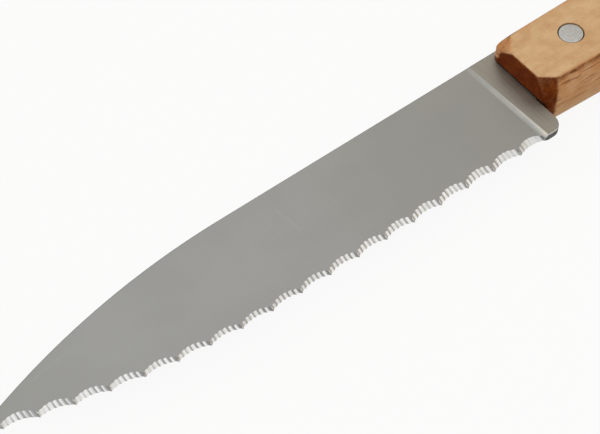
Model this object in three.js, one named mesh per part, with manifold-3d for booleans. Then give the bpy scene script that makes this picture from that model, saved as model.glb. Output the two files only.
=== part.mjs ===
// A serrated paring knife: a thin stainless blade with a scalloped and fluted edge, and a one-piece beech
// handle that two solid aluminium rivets hold on the blade's hidden tang.
// Millimetres, +Z up. The knife lies on its side: +X runs from the tip to the butt and +Y from the edge to
// the spine. The pieces are drawn with x = 0 at the handle's front, y = 0 at the line of the cutting edge
// and z = 0 in the middle of the blade, and the group then stands them on the handle's lower face.

import * as THREE from "three";
import { mergeVertices } from "three/addons/utils/BufferGeometryUtils.js";
import Module from "manifold-3d";

// Blade
const BLADE_LENGTH = 100; // from the handle's front to the tip
const BLADE_WIDTH = 17.85; // from the edge to the spine, at the handle
const BLADE_THICKNESS = 1.2; // of the unground sheet
const SPINE_FALL = 0.34; // slope of the straight spine towards the tip, degrees
const SPINE_STRAIGHT = 52.5; // from the handle's front to where the spine starts to curve down
const EDGE_STRAIGHT = 52.4; // from the handle's front to where the edge starts to curve up
const TIP_HEIGHT = 8.25; // of the tip above the line of the edge
const HEEL_RADIUS = 2; // of the corner behind the edge
const SHOULDER_GAP = 0.1; // between the blade's lower shoulder and the handle's front
const SHOULDER_SINK = 1.8; // depth of the upper shoulder in the handle's slot

// Ground faces of the blade
const GROUND_SPINE = 1.1; // thickness left at the spine
const GROUND_EDGE = 0.5; // thickness left at the edge, at the heel
const GROUND_TIP = 0.5; // thickness left at the tip
const PLUNGE_SPINE = 4.85; // from the handle's front to the end of the grind, at the spine
const PLUNGE_EDGE = 4.2; // the same at the edge
const PLUNGE_RADIUS = 2; // of the hollow where the grind runs out

// Serrated edge
const HEEL_LAND = 4.4; // plain stretch between the handle's front and the first scallop
const HEEL_SCALLOP = 4.3; // length of the first, shorter scallop
const SCALLOP_PITCH = 5.2; // length of the others
const SCALLOP_RADIUS = 5.8; // of each scallop's arc
const SCALLOP_FLUTES = 6; // fine flutes across each scallop
const FLUTE_DEPTH = 0.12;
const FLUTE_FADE = 3; // scallops at the heel over which the flutes grow to their full depth
const BEVEL_HEIGHT = 0.8; // of the serrated bevel, up the blade's upper face
const CUSP_LAP = 0.02; // overlap of neighbouring cuts at a cusp
const TIP_SCALLOP = 1; // the shortest that the last scallop may be
const TIP_CUT = 0.85; // the steepest cut at the tip, as a share of the tip's own slope

// Tang
const TANG_WIDTH = 8.4; // at the shoulders
const TANG_END_WIDTH = 6.6;
const TANG_TAIL = 9.8; // length past the rear rivet

// Handle
const HANDLE_LENGTH = 96;
const HANDLE_THICKNESS = 10;
const HANDLE_STEP = 0.25; // from the blade's spine down to the handle's spine side
const FRONT_WIDTH = 13.7;
const BELLY_AT = 42; // from the front to the widest part of the belly
const BELLY_WIDTH = 15.6;
const BELLY_ARCH = 0.3; // rise of the spine side there
const WAIST_AT = 68; // from the front to the narrow part behind the belly
const WAIST_WIDTH = 14.5;
const BUTT_WIDTH = 15.4;
const BUTT_FALL = 1.3; // of the spine side at the butt
const BUTT_ROUND = 5; // length of the rounded corners at the butt
const ROLL_WIDTH = 2.2; // of the rounded long edges, across the knife
const ROLL_DEPTH = 4.5; // of the same edges, through the thickness

const CORNER_ROUND = 2.5; // of the front corner at the spine, in the side view

// Facets on the handle's front corners, as lengths from the corner along X, Y and Z
const SPINE_FACET = new THREE.Vector3(4.1, 4.7, 3.8);
const EDGE_FACET = new THREE.Vector3(2.9, 3.1, 13);

// Rivets
const RIVET_DIAMETER = 3.7;
const RIVET_CHAMFER = 0.2;
const RIVET_SINK = 0.05; // depth of each rivet end below the handle's face
const FRONT_RIVET = 10.4; // from the handle's front to the front rivet
const RIVET_SPACING = 42;

// Fits
const FIT_CLEARANCE = 0.2; // around the tang in its slot and around the rivets in their holes

// Fineness of curves, and room for cutting tools outside the work
const ARC_STEPS = 12;
const FLUTE_STEPS = 4;
const ROLL_STEPS = 8;
const ROUND_SIDES = 48;
const TOOL_ROOM = 4;
const WELD = 1e-4;

// Sizes that follow from those above
const tip = new THREE.Vector2(-BLADE_LENGTH, TIP_HEIGHT);
const handleSpine = BLADE_WIDTH - HANDLE_STEP;
const tangAxis = handleSpine - FRONT_WIDTH / 2;
const tangLength = FRONT_RIVET + RIVET_SPACING + TANG_TAIL;
const rivetPlaces = { front_rivet: FRONT_RIVET, rear_rivet: FRONT_RIVET + RIVET_SPACING };
const grindSlope = (GROUND_SPINE - GROUND_EDGE) / 2 / BLADE_WIDTH;
const untapered = GROUND_EDGE / 2 + grindSlope * TIP_HEIGHT;
const taperSlope = (untapered - GROUND_TIP / 2) / (BLADE_LENGTH - PLUNGE_EDGE);
const plungeSlope = (PLUNGE_SPINE - PLUNGE_EDGE) / BLADE_WIDTH;

const wasm = await Module();
wasm.setup();

// A closed geometry as a solid that can be cut and joined
function solid(geometry) {
  geometry.deleteAttribute("normal");
  geometry.deleteAttribute("uv");
  const welded = mergeVertices(geometry, WELD);
  return new wasm.Manifold(new wasm.Mesh({
    numProp: 3,
    vertProperties: Float32Array.from(welded.attributes.position.array),
    triVerts: Uint32Array.from(welded.index.array),
  }));
}

// A finished solid as a named mesh
function piece(name, body, material) {
  const { vertProperties, triVerts } = body.getMesh();
  const geometry = new THREE.BufferGeometry();
  geometry.setAttribute("position", new THREE.BufferAttribute(vertProperties, 3));
  geometry.setIndex(new THREE.BufferAttribute(triVerts, 1));
  geometry.computeVertexNormals();
  const mesh = new THREE.Mesh(geometry, material);
  mesh.name = name;
  return mesh;
}

// A flat outline thickened evenly to both sides of the blade's middle plane
function plate(shape, thickness) {
  const geometry = new THREE.ExtrudeGeometry(shape, {
    depth: thickness, bevelEnabled: false, curveSegments: ARC_STEPS,
  });
  return geometry.translate(0, 0, -thickness / 2);
}

// The arc that leaves a straight line at a point, square to a normal there, and runs through the tip
function arcToTip(start, normal) {
  const chord = tip.clone().sub(start);
  const radius = chord.lengthSq() / (2 * chord.dot(normal));
  const centre = start.clone().addScaledVector(normal, radius);
  const angleOf = (point) => Math.atan2(point.y - centre.y, point.x - centre.x);
  return { radius, centre, startAngle: angleOf(start), tipAngle: angleOf(tip) };
}

const spineAngle = THREE.MathUtils.degToRad(SPINE_FALL);
const spineStart = new THREE.Vector2(-SPINE_STRAIGHT, BLADE_WIDTH - SPINE_STRAIGHT * Math.tan(spineAngle));
const spineArc = arcToTip(spineStart, new THREE.Vector2(Math.sin(spineAngle), -Math.cos(spineAngle)));
const edgeArc = arcToTip(new THREE.Vector2(-EDGE_STRAIGHT, 0), new THREE.Vector2(0, 1));
const edgeTurn = edgeArc.startAngle - edgeArc.tipAngle;
const edgeLength = EDGE_STRAIGHT + edgeArc.radius * edgeTurn;

// How steeply the spine comes down on the cutting line at the tip
const tipSlope = Math.tan(spineAngle + spineArc.tipAngle - spineArc.startAngle + edgeTurn);

// The point of the cutting line at a distance along it from the handle's front
function edgePoint(distance) {
  if (distance <= EDGE_STRAIGHT) {
    return new THREE.Vector2(-distance, 0);
  }
  const angle = edgeArc.startAngle - (distance - EDGE_STRAIGHT) / edgeArc.radius;
  const spoke = new THREE.Vector2(Math.cos(angle), Math.sin(angle));
  return edgeArc.centre.clone().addScaledVector(spoke, edgeArc.radius);
}

// The tang's tapered outline with a round end, grown by a margin on its sides and end
function traceTang(shape, lowX, highX, margin) {
  const half = TANG_WIDTH / 2 + margin;
  const endHalf = TANG_END_WIDTH / 2 + margin;
  const endX = tangLength - TANG_END_WIDTH / 2;
  shape.lineTo(lowX, tangAxis - half);
  shape.lineTo(endX, tangAxis - endHalf);
  shape.absarc(endX, tangAxis, endHalf, -Math.PI / 2, Math.PI / 2, false);
  shape.lineTo(highX, tangAxis + half);
}

// The sheet blank: tip, curved and straight edge, round heel, lower shoulder, tang, upper shoulder, spine.
// The lower shoulder lies against the handle's front, and the upper one in the handle's slot.
function bladeBlank() {
  const back = -SHOULDER_GAP;
  const shape = new THREE.Shape();
  shape.moveTo(tip.x, tip.y);
  shape.absarc(
    edgeArc.centre.x, edgeArc.centre.y, edgeArc.radius, edgeArc.tipAngle, edgeArc.startAngle, false);
  shape.lineTo(back - HEEL_RADIUS, 0);
  shape.absarc(back - HEEL_RADIUS, HEEL_RADIUS, HEEL_RADIUS, -Math.PI / 2, 0, false);
  traceTang(shape, back, SHOULDER_SINK, 0);
  shape.lineTo(SHOULDER_SINK, BLADE_WIDTH);
  shape.lineTo(spineStart.x, spineStart.y);
  shape.absarc(
    spineArc.centre.x, spineArc.centre.y, spineArc.radius, spineArc.startAngle, spineArc.tipAngle, false);
  return solid(plate(shape, BLADE_THICKNESS));
}

// The distance of the ground faces from the blade's middle plane, at a point of the blade
function groundHalf(point) {
  return GROUND_EDGE / 2 + grindSlope * point.y + taperSlope * (point.x + PLUNGE_EDGE);
}

// The tool that grinds one face: flat along the blade, with a round shoulder that makes the plunge line.
// It leans from the spine to the edge and from the heel to the tip, and its shoulder slants a little.
function grindTool(side) {
  const reach = BLADE_WIDTH + TOOL_ROOM;
  const runOut = Math.acos(1 - BLADE_THICKNESS / 2 / PLUNGE_RADIUS);
  const shape = new THREE.Shape();
  shape.moveTo(-BLADE_LENGTH - TOOL_ROOM, 0);
  shape.lineTo(0, 0);
  shape.absarc(0, PLUNGE_RADIUS, PLUNGE_RADIUS, -Math.PI / 2, runOut - Math.PI / 2, false);
  shape.lineTo(-BLADE_LENGTH - TOOL_ROOM, BLADE_THICKNESS / 2);
  const geometry = plate(shape, 2 * reach).rotateX(side * Math.PI / 2);
  geometry.applyMatrix4(new THREE.Matrix4().set(
    1, -plungeSlope, 0, -PLUNGE_EDGE,
    0, 1, 0, 0,
    side * taperSlope, side * grindSlope, 1, side * GROUND_EDGE / 2,
    0, 0, 0, 1));
  return solid(geometry);
}

// The tool that cuts one scallop between two cusps: a shallow arc with small round flutes along it, flattened
// where its ends would be too steep. The tool leans, so it meets the lower face at the edge and the upper
// face at the bevel's height up the blade.
function scallopTool(heelCusp, tipCusp, fluteDepth, steepest) {
  const chord = heelCusp.distanceTo(tipCusp);
  const sag = Math.sqrt(SCALLOP_RADIUS ** 2 - chord ** 2 / 4);
  const flutes = Math.max(1, Math.round(SCALLOP_FLUTES * chord / SCALLOP_PITCH));
  const endSlope = chord / 2 / sag + Math.PI * flutes * fluteDepth / chord;
  const fullness = Math.min(1, steepest / endSlope);
  const steps = flutes * FLUTE_STEPS;
  const side = chord / 2 + CUSP_LAP;
  const shape = new THREE.Shape();
  shape.moveTo(-side, -TOOL_ROOM);
  shape.lineTo(-side, 0);
  for (let step = 0; step <= steps; step++) {
    const share = step / steps;
    const along = (share - 0.5) * chord;
    const arc = Math.sqrt(SCALLOP_RADIUS ** 2 - along ** 2) - sag;
    const flute = fluteDepth * Math.abs(Math.sin(Math.PI * flutes * share));
    shape.lineTo(along, fullness * (arc + flute));
  }
  shape.lineTo(side, 0);
  shape.lineTo(side, -TOOL_ROOM);
  const middle = heelCusp.clone().add(tipCusp).divideScalar(2);
  const half = groundHalf(middle);
  const lean = BEVEL_HEIGHT / (2 * half);
  const geometry = plate(shape, TOOL_ROOM);
  geometry.applyMatrix4(new THREE.Matrix4().set(
    1, 0, 0, 0,
    0, 1, lean, 0,
    0, 0, 1, -half,
    0, 0, 0, 1));
  geometry.rotateZ(heelCusp.clone().sub(tipCusp).angle());
  return solid(geometry.translate(middle.x, middle.y, 0));
}

// The places of the cusps along the cutting line, from the heel to the tip. The last scallop takes up what is
// left there, a little more than a pitch where another one would be too short.
function cuspPlaces() {
  const places = [HEEL_LAND, HEEL_LAND + HEEL_SCALLOP];
  while (edgeLength - places.at(-1) > SCALLOP_PITCH + TIP_SCALLOP) {
    places.push(places.at(-1) + SCALLOP_PITCH);
  }
  return [...places, edgeLength];
}

// A rod through the whole knife, for the rivet holes
function rivetHole(x) {
  const radius = RIVET_DIAMETER / 2 + FIT_CLEARANCE;
  const rod = new THREE.CylinderGeometry(radius, radius, HANDLE_THICKNESS + TOOL_ROOM, ROUND_SIDES);
  return solid(rod.rotateX(Math.PI / 2).translate(x, tangAxis, 0));
}

function withRivetHoles(body) {
  return Object.values(rivetPlaces).reduce((rest, x) => rest.subtract(rivetHole(x)), body);
}

function blade() {
  let body = bladeBlank().subtract(grindTool(1)).subtract(grindTool(-1));
  const cusps = cuspPlaces().map(edgePoint);
  for (let index = 1; index < cusps.length; index++) {
    const fluteDepth = FLUTE_DEPTH * Math.min(1, index / FLUTE_FADE);
    const steepest = index === cusps.length - 1 ? TIP_CUT * tipSlope : Infinity;
    body = body.subtract(scallopTool(cusps[index - 1], cusps[index], fluteDepth, steepest));
  }
  return withRivetHoles(body);
}

// The handle's side view: belly, waist and butt on the underside, a gentle arch on the spine side. It starts
// ahead of the front, where it is sawn off square.
function handleOutline() {
  const front = -TOOL_ROOM;
  const buttSpine = handleSpine - BUTT_FALL;
  const buttLow = buttSpine - BUTT_WIDTH;
  const buttX = HANDLE_LENGTH - BUTT_ROUND;
  const bellySpine = handleSpine + BELLY_ARCH;
  const shape = new THREE.Shape();
  shape.moveTo(front, handleSpine - FRONT_WIDTH);
  shape.lineTo(0, handleSpine - FRONT_WIDTH);
  shape.splineThru([
    new THREE.Vector2(BELLY_AT, bellySpine - BELLY_WIDTH),
    new THREE.Vector2(WAIST_AT, handleSpine - WAIST_WIDTH),
    new THREE.Vector2(buttX, buttLow),
  ]);
  shape.quadraticCurveTo(HANDLE_LENGTH, buttLow, HANDLE_LENGTH, buttLow + BUTT_ROUND);
  shape.lineTo(HANDLE_LENGTH, buttSpine - BUTT_ROUND);
  shape.quadraticCurveTo(HANDLE_LENGTH, buttSpine, buttX, buttSpine);
  shape.splineThru([
    new THREE.Vector2(WAIST_AT, handleSpine),
    new THREE.Vector2(BELLY_AT, bellySpine),
    new THREE.Vector2(0, handleSpine),
  ]);
  shape.lineTo(front, handleSpine);
  return shape;
}

// A large block whose one face is a plane through three points on the edges of a front corner of the handle
function facetTool(cornerY, sideY, sideZ, legs) {
  const corner = new THREE.Vector3(0, cornerY, sideZ * HANDLE_THICKNESS / 2);
  const outward = new THREE.Vector3(-1 / legs.x, sideY / legs.y, sideZ / legs.z).normalize();
  const size = 2 * HANDLE_THICKNESS + BLADE_WIDTH;
  const block = new THREE.BoxGeometry(size, size, size).translate(0, 0, size / 2);
  block.applyQuaternion(new THREE.Quaternion().setFromUnitVectors(new THREE.Vector3(0, 0, 1), outward));
  const onPlane = corner.clone().add(new THREE.Vector3(legs.x, 0, 0));
  return solid(block.translate(onPlane.x, onPlane.y, onPlane.z));
}

// The saw cut that leaves the handle's square front and its round corner at the spine. Past the corner it
// runs clear of the arched spine side.
function frontCut() {
  const cornerY = handleSpine - CORNER_ROUND;
  const shape = new THREE.Shape();
  shape.moveTo(-2 * TOOL_ROOM, handleSpine - 2 * FRONT_WIDTH);
  shape.lineTo(0, handleSpine - 2 * FRONT_WIDTH);
  shape.lineTo(0, cornerY);
  shape.absarc(CORNER_ROUND, cornerY, CORNER_ROUND, Math.PI, Math.PI / 2, true);
  shape.lineTo(CORNER_ROUND + TOOL_ROOM, handleSpine + BELLY_ARCH);
  shape.lineTo(-2 * TOOL_ROOM, handleSpine + TOOL_ROOM);
  return solid(plate(shape, 2 * HANDLE_THICKNESS));
}

// The sawn slot: the outline of the tang and the upper shoulder with clearance all round, open at the
// handle's front and at the front corner of its spine side
function tangSlot() {
  const back = SHOULDER_SINK + FIT_CLEARANCE;
  const shape = new THREE.Shape();
  shape.moveTo(-TOOL_ROOM, tangAxis);
  traceTang(shape, -TOOL_ROOM, back, FIT_CLEARANCE);
  shape.lineTo(back, BLADE_WIDTH + TOOL_ROOM);
  shape.lineTo(-TOOL_ROOM, BLADE_WIDTH + TOOL_ROOM);
  return solid(plate(shape, BLADE_THICKNESS + 2 * FIT_CLEARANCE));
}

function handle() {
  const flat = HANDLE_THICKNESS - 2 * ROLL_DEPTH;
  const stock = new THREE.ExtrudeGeometry(handleOutline(), {
    depth: flat, curveSegments: ARC_STEPS, bevelEnabled: true, bevelSegments: ROLL_STEPS,
    bevelThickness: ROLL_DEPTH, bevelSize: ROLL_WIDTH, bevelOffset: -ROLL_WIDTH,
  });
  let body = solid(stock.translate(0, 0, -flat / 2)).subtract(frontCut());
  for (const sideZ of [1, -1]) {
    body = body.subtract(facetTool(handleSpine, 1, sideZ, SPINE_FACET));
    body = body.subtract(facetTool(handleSpine - FRONT_WIDTH, -1, sideZ, EDGE_FACET));
  }
  return withRivetHoles(body.subtract(tangSlot()));
}

// A solid rivet, set flush in the handle with lightly chamfered ends
function rivet(x) {
  const radius = RIVET_DIAMETER / 2;
  const end = HANDLE_THICKNESS / 2 - RIVET_SINK;
  const profile = [
    new THREE.Vector2(0, -end),
    new THREE.Vector2(radius - RIVET_CHAMFER, -end),
    new THREE.Vector2(radius, RIVET_CHAMFER - end),
    new THREE.Vector2(radius, end - RIVET_CHAMFER),
    new THREE.Vector2(radius - RIVET_CHAMFER, end),
    new THREE.Vector2(0, end),
  ];
  const turned = new THREE.LatheGeometry(profile, ROUND_SIDES).rotateX(Math.PI / 2);
  return solid(turned.translate(x, tangAxis, 0));
}

const steel = new THREE.MeshStandardMaterial({ color: 0xa3a39e, metalness: 1, roughness: 0.38 });
const beech = new THREE.MeshStandardMaterial({ color: 0xc7a077, metalness: 0, roughness: 0.6 });

const knife = new THREE.Group();
knife.add(piece("blade", blade(), steel));
knife.add(piece("handle", handle(), beech));
for (const [name, x] of Object.entries(rivetPlaces)) {
  const aluminium = new THREE.MeshStandardMaterial({ color: 0xb8b8b3, metalness: 1, roughness: 0.45 });
  knife.add(piece(name, rivet(x), aluminium));
}

// Stand the knife on the handle's lower face, with the origin under the middle of its outer box
const box = new THREE.Box3().setFromObject(knife);
const centre = box.getCenter(new THREE.Vector3());
knife.position.set(-centre.x, -centre.y, -box.min.z);

export default knife;
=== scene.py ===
"""The looks of a serrated paring knife: its ground and fluted blade, beech handle, rivets and studio stage.

The knife lies on its side. Shapes are worked out in metres in the knife's own frame, where x = 0 is the
handle's front and x grows towards the butt, y = 0 is the line of the cutting edge and y grows towards the
spine, and z = 0 is the blade's middle plane. mesh_piece moves each piece into the frame of the solid model.
"""

import math

import bmesh
import bpy
import numpy as np
from mathutils import Matrix, Vector


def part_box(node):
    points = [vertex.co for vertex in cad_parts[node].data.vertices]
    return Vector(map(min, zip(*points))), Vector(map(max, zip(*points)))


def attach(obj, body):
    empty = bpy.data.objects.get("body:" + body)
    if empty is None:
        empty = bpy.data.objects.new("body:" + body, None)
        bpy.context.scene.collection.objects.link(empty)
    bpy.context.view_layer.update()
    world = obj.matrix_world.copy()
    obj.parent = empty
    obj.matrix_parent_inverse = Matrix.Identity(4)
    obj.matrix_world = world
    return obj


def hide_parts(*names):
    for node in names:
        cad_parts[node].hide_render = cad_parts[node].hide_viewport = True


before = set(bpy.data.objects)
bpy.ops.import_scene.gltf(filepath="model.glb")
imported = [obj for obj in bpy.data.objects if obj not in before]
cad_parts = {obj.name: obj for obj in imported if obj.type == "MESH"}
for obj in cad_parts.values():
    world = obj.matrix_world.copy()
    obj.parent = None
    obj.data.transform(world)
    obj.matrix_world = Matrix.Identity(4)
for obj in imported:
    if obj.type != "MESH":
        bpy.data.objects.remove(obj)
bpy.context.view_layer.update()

bl_info = {
    "name": "Serrated paring knife",
    "version": (1, 0, 0),
    "blender": (4, 5, 0),
    "location": "View3D > Sidebar > Knife",
    "description": "Builds a serrated paring knife with a beech handle on a pale studio floor",
    "category": "Add Mesh",
}

MM = 0.001
BODY = "root"

# Points that are closer than this are one point
WELD = 2e-8

# Room for rounding in a share that should be 1
ROUNDING = 0.001

# How far a cutting tool stands out of the piece that it cuts
TOOL_ROOM = 3 * MM

# How far the butt stays inside the solid's box, against rounding
BOX_ROOM = 0.001 * MM

# The solids' boxes, as low and high corners
BLADE_LOW, BLADE_HIGH = np.array(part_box("blade"))
HANDLE_LOW, HANDLE_HIGH = np.array(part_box("handle"))
RIVET_LOW, RIVET_HIGH = np.array(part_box("front_rivet"))
RIVET_NODES = ("front_rivet", "rear_rivet")

# The origin of the knife's own frame in the frame of the solid model, and the line through the rivets
ORIGIN = np.array([HANDLE_LOW[0], BLADE_LOW[1], (BLADE_LOW[2] + BLADE_HIGH[2]) / 2])
TANG_AXIS = (RIVET_LOW[1] + RIVET_HIGH[1]) / 2 - ORIGIN[1]

# How finely the blade is divided
FLUTE_SAMPLES = 10
BEVEL_ROWS = 4
FACE_ROWS = 13
TANG_FIRST_ROW, TANG_LAST_ROW = 3, 9
SPINE_ROWS = 7
PLUNGE_STATIONS = 26
RICASSO_STATIONS = 6
HEEL_STATIONS = 14
TANG_STATIONS = 14

# How finely the handle is divided, and the length of its finer part at the front
OUTLINE_POINTS = 200
FLAT_ROWS = 30
EDGE_ROWS = 10
SIDE_ROWS = 20
FRONT_RINGS = 40
RIM_STATIONS = 8
FRONT_STATIONS = 84
FRONT_LENGTH = 10 * MM
BODY_STATIONS = 70
BUTT_STATIONS = 44
BUTT_RINGS = 4

# How finely the rivets and their holes are divided
ROUND_SIDES = 96
DOME_RINGS = 8
RIVET_RIM_RINGS = 6

# Edges that turn more than this are shown sharp
SHARP_EDGE = math.radians(14)

# Power of the distance with which the plunge rises to the sheet
PLUNGE_POWER = 1.5

# Fall of the heel's chamfer, as a share of its width
CHAMFER_FALL = 0.6

# How far the bevel stands over its mean height in a scallop's middle, as a share of its arch
ARCH_MIDDLE = 0.4

# How much more the bevel tilts for each radian that the edge turns up
TILT_GAIN = 0.5

# Power that spaces the butt's stations
BUTT_CROWDING = 0.8

# Share of the butt's elliptic roll that comes before its narrow flat end
BUTT_END = 0.97

# Signs of Y and of Z in the four quarters of a section's loop
Y_SIGNS = (1, 1, -1, -1)
Z_SIGNS = (1, -1, -1, 1)

# How tones fade out on the handle: the distance up to which they are full, and the softness past it
END_FADE = (0.105 * MM, 0.35 * MM)
SPINE_FACET_FADE = (0.28 * MM, 0.35 * MM)
SEAM_FADE = (0.088 * MM, 0.22 * MM)

# How many times further the end grain's dark tone, which also paints the front's shade, reaches round the
# round front corner
CORNER_REACH = 4

# Radius and share of the wear on the ridge between the front face and the edge facets
RIDGE_RADIUS = 0.2 * MM
RIDGE_WEAR = 0.2

# How sharply the long sides' tone sets in at their borders, and its level on the spine facets
SIDE_GAIN = 4
FACET_LEVEL = 1.05

# Places in a rivet's rounded rim between which the painted shadow of the gap round it sets in
SHADOW_RIM = (0.05, 0.5)

# Painted shadow in the narrow gaps between two pieces: round the rivets, and at the mouth of the slot round
# the blade
SEAM_SHADOW = (0.022, 0.013, 0.007)

# Where most of a noise pattern's values lie
NOISE_RANGE = (0.3, 0.7)

WHITE = (1.0, 1.0, 1.0)

# The floor's reach to each side and the range of the camera, in metres, and its sensor's width in millimetres
FLOOR_REACH = 6.0
CLIP_START, CLIP_END = 0.01, 100.0
SENSOR_WIDTH = 36.0

# Direction of the tent's bright part
TENT_BRIGHT_WAY = (0.35, 0.75, 0.55)

# Places of the blade's finishes in its list of materials
FACE, EDGE, BLANKED = range(3)


def metres(name, description, default):
    """A length that a user may change."""
    return bpy.props.FloatProperty(
        name=name, description=description, default=default, min=0.0, precision=5, unit="LENGTH")


def legs(name, description, default):
    """Three lengths along X, Y and Z."""
    return bpy.props.FloatVectorProperty(
        name=name, description=description, default=default, size=3, precision=5,
        subtype="XYZ", unit="LENGTH")


def colour(name, description, default):
    """A linear colour."""
    return bpy.props.FloatVectorProperty(
        name=name, description=description, default=default, size=3, min=0.0, max=1.0, subtype="COLOR")


def share(name, description, default):
    """A number from 0 to 1."""
    return bpy.props.FloatProperty(
        name=name, description=description, default=default, min=0.0, max=1.0, subtype="FACTOR")


def number(name, description, default):
    """A number of 1 or more."""
    return bpy.props.FloatProperty(name=name, description=description, default=default, min=1.0)


def count(name, description, default):
    """A whole number of 1 or more."""
    return bpy.props.IntProperty(name=name, description=description, default=default, min=1)


def angle(name, description, degrees):
    """An angle."""
    return bpy.props.FloatProperty(
        name=name, description=description, default=math.radians(degrees), subtype="ANGLE")


class BladeSettings(bpy.types.PropertyGroup):
    """Sizes and colours of the blade."""

    length: metres("Length", "From the handle's front to the tip", ORIGIN[0] - BLADE_LOW[0])
    width: metres("Width", "From the edge to the spine, at the handle", BLADE_HIGH[1] - BLADE_LOW[1])
    thickness: metres("Thickness", "Of the unground sheet", BLADE_HIGH[2] - BLADE_LOW[2])
    spine_fall: angle("Spine fall", "Slope of the straight spine towards the tip", 0.34)
    spine_straight: metres("Straight spine", "From the handle's front to the spine's curve", 52.5 * MM)
    edge_straight: metres("Straight edge", "From the handle's front to the edge's curve", 52.4 * MM)
    tip_height: metres("Tip height", "Of the tip above the line of the edge", 8.25 * MM)
    heel_radius: metres("Heel radius", "Of the corner behind the edge", 2 * MM)
    shoulder_gap: metres("Shoulder gap", "Between the lower shoulder and the handle's front", 0.1 * MM)
    shoulder_sink: metres("Shoulder sink", "Depth of the upper shoulder in the handle's slot", 1.8 * MM)
    spine_round: metres("Spine rounding", "Of the spine's two long edges", 0.1 * MM)
    ground_spine: metres("Ground spine", "Thickness that the grind leaves at the spine", 1.1 * MM)
    ground_edge: metres("Ground edge", "Thickness that the grind leaves at the edge", 0.5 * MM)
    ground_tip: metres("Ground tip", "Thickness that the grind leaves at the tip", 0.5 * MM)
    plunge_spine: metres("Plunge at spine", "From the handle's front to the grind's end", 4.85 * MM)
    plunge_edge: metres("Plunge at edge", "From the handle's front to the grind's end", 4.2 * MM)
    plunge_width: metres("Plunge width", "Of the hollow where the grind runs out", 0.95 * MM)
    heel_land: metres("Heel land", "Plain stretch behind the first scallop", 3.9 * MM)
    heel_scallop: metres("Heel scallop", "Length of the first scallop", 4.8 * MM)
    pitch: metres("Pitch", "Length of the other scallops", 5.2 * MM)
    scallop_radius: metres("Scallop radius", "Of each scallop's arc", 5.8 * MM)
    flutes: count("Flutes", "Fine flutes across each scallop", 6)
    flute_depth: metres("Flute depth", "Of each flute", 0.19 * MM)
    flute_fade: count("Flute fade", "Scallops at the heel over which the flutes deepen", 3)
    flute_tip: share("Flute tip", "Share of the flutes' depth that is left at the tip", 0.45)
    flute_lean: angle("Flute lean", "Of the flutes towards the tip", 5)
    bevel_height: metres("Bevel height", "Of the serrated bevel up the blade's face, on average", 0.79 * MM)
    bevel_swing: metres("Bevel swing", "Rise of the bevel at heel and tip, and its fall between", 0.2 * MM)
    bevel_skew: number("Bevel skew", "Power that moves the bevel's lowest place towards the tip", 1.2)
    bevel_heel: share("Bevel heel", "Share of the bevel's height that is lost at the heel", 0.35)
    bevel_runout: metres("Bevel run-out", "Length over which the bevel narrows to the heel", 0.9 * MM)
    bevel_arch: share("Bevel arch", "Share by which the bevel narrows to both ends of a scallop", 0.22)
    bevel_tilt: share("Bevel tilt", "Share by which it narrows to a scallop's end nearer the tip", 0.12)
    heel_chamfer: metres("Heel chamfer", "On the upper edge of the plain heel", 0.09 * MM)
    tang_length: metres(
        "Tang length", "From the handle's front to the tang's end", BLADE_HIGH[0] - ORIGIN[0])
    tang_width: metres("Tang width", "At the shoulders", 8.4 * MM)
    tang_end_width: metres("Tang end width", "At the tang's round end", 6.6 * MM)
    steel: colour("Satin steel", "Of the ground faces", (0.512, 0.514, 0.5))
    # Darker and warmer than the satin steel: painted shade at the tip and the heel, where the broad highlight
    # on the middle falls off
    shaded_warm_steel: colour("Warm steel", "Of the ground faces at the tip and the heel", (0.465, 0.467, 0.418))
    # Brighter than the satin steel: a painted highlight along the plunge's hollow
    plunge_highlight_steel: colour("Plunge steel", "Of the hollow where the grind runs out", (0.58, 0.565, 0.52))
    # Tinted brown: a painted reflection of the handle in the unground sheet
    sheet_steel_with_reflection: colour("Sheet steel", "Of the unground sheet at the handle", (0.5, 0.475, 0.41))
    edge_steel: colour("Edge steel", "Of the freshly cut flutes", (0.72, 0.72, 0.71))
    # Far darker than steel's own colour, so that it also paints the shade and dark reflection on the heel's
    # cut edge
    blanked_shaded_steel: colour("Blanked steel", "Of the sheet's rough cut edges", (0.11, 0.106, 0.096))


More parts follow.
